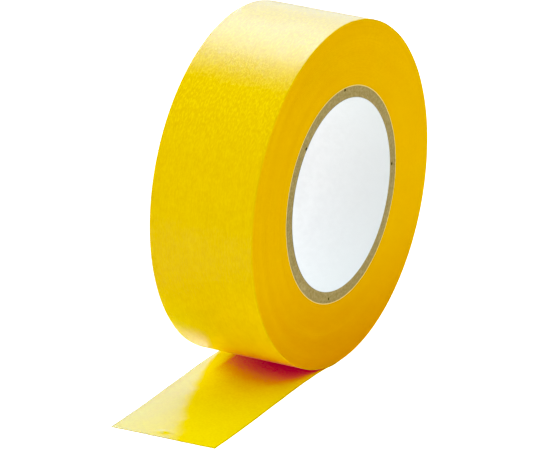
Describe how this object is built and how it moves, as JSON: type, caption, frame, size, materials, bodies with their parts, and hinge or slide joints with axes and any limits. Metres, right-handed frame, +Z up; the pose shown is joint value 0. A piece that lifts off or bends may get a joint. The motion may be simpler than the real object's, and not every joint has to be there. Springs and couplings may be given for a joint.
{
  "type": "masking tape roll",
  "caption": "Roll of yellow creped-paper masking tape on a spiral-wound paperboard core, standing on its tread with a short tail paid out flat, sticky side up.",
  "frame": {"origin": "centre of the core's bore, at mid-width of the roll", "axes": "+Y along the bore; +Z up, with the roll standing on its tread; +X opposite to the way the tail is paid out, which is towards -X along the floor at z = -0.0275"},
  "size_m": [0.0685, 0.0192, 0.055],
  "materials": {
    "white_liner": "matte bleached paper",
    "core_board": null,
    "kraft_liner": "matte pale kraft paper",
    "wound_tape": "satin, slit edges of many thin laps",
    "tape_backing": "satin, finely creped long-fibre paper with a release coat",
    "tape_adhesive": "gloss, pressure-sensitive adhesive"
  },
  "bodies": {
    "tail": {"outer_lap_backing": "tape_backing", "outer_lap_adhesive": "tape_adhesive", "tail_backing": "tape_backing", "tail_adhesive": "tape_adhesive"},
    "roll": {"core_inner_liner": "white_liner", "core_ply_1": "core_board", "core_ply_2": "core_board", "core_ply_3": "core_board", "core_ply_4": "core_board", "core_outer_liner": "kraft_liner", "wound_tape": "wound_tape"},
    "tail_end": {"tail_end_backing": "tape_backing", "tail_end_adhesive": "tape_adhesive"}
  },
  "joints": [
    {"name": "roll_spin", "type": "hinge", "parent": "tail", "child": "roll", "pos_m": [0, 0, 0], "axis": [0, 1, 0], "continuous": true},
    {"name": "tail_end_lift", "type": "hinge", "parent": "tail", "child": "tail_end", "pos_m": [-0.02, 0, -0.02742], "axis": [0, 1, 0], "range_deg": [0, 70]}
  ]
}
